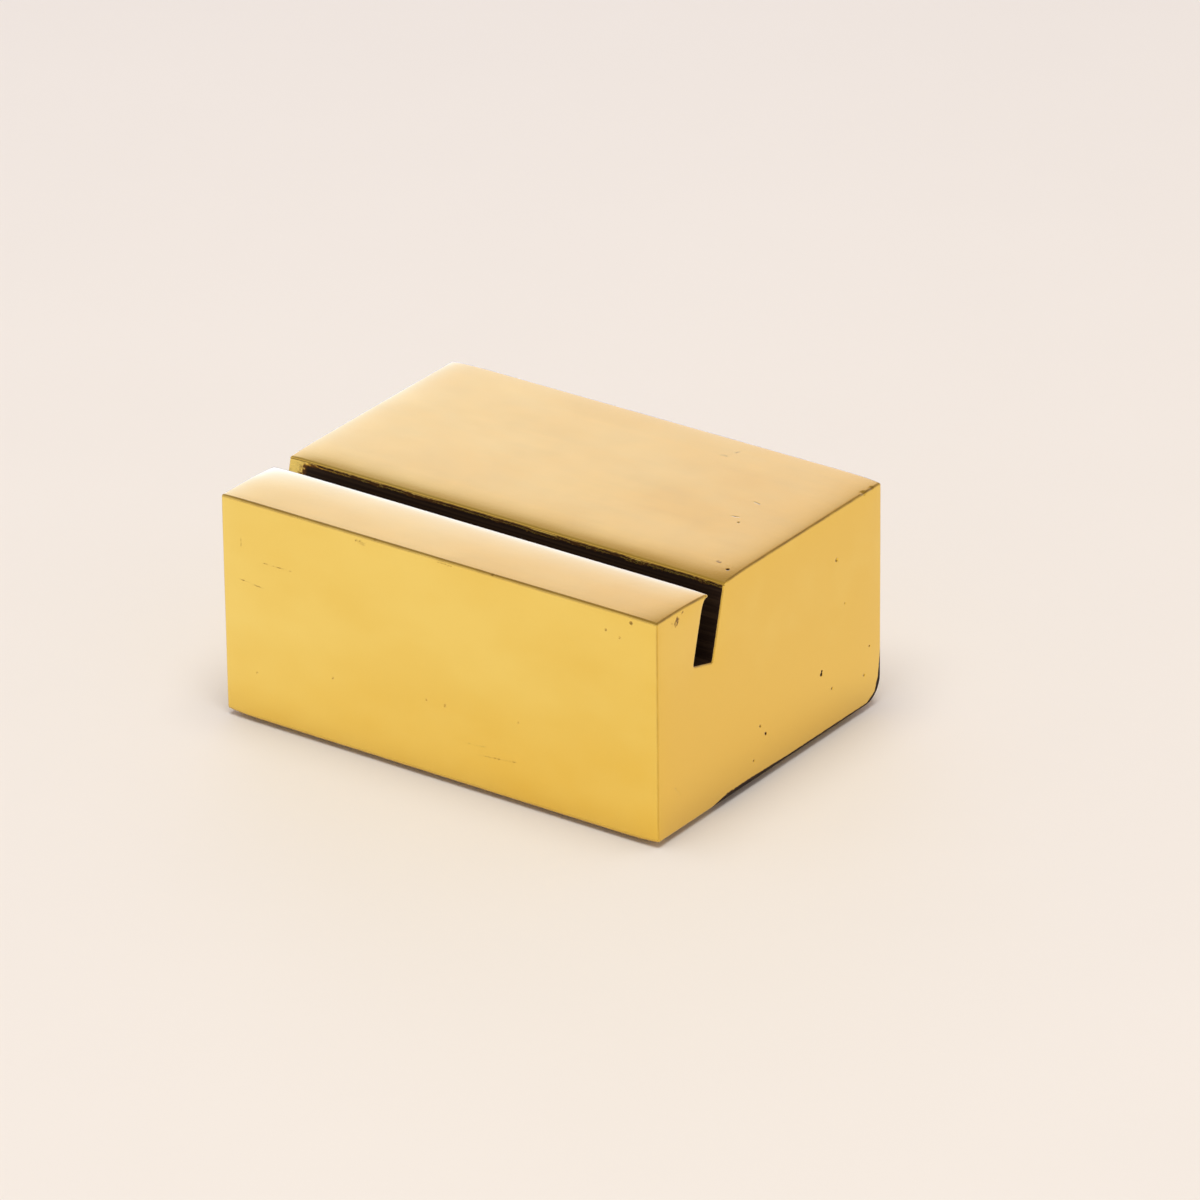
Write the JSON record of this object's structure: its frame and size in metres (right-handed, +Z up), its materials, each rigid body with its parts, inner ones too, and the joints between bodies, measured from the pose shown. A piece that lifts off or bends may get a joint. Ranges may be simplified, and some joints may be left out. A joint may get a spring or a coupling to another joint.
{
  "type": "menu holder",
  "caption": "Solid polished brass block with a leaning slot from end to end that holds a menu or card upright, standing on a bonded felt sheet.",
  "frame": {"origin": "middle of the footprint, on the table surface under the felt", "axes": "+X along the card slot, -Y out of the front face, towards the person reading the card, +Z up"},
  "size_m": [0.066, 0.049, 0.0306],
  "materials": {
    "brass": "hand-polished cast brass with fine buffing marks and a few casting pits",
    "film": "thin translucent double-sided adhesive film",
    "felt": "thin, dense dark felt"
  },
  "bodies": {
    "root": {"brass_block": "brass", "adhesive_film": "film", "felt_pad": "felt"}
  },
  "joints": []
}
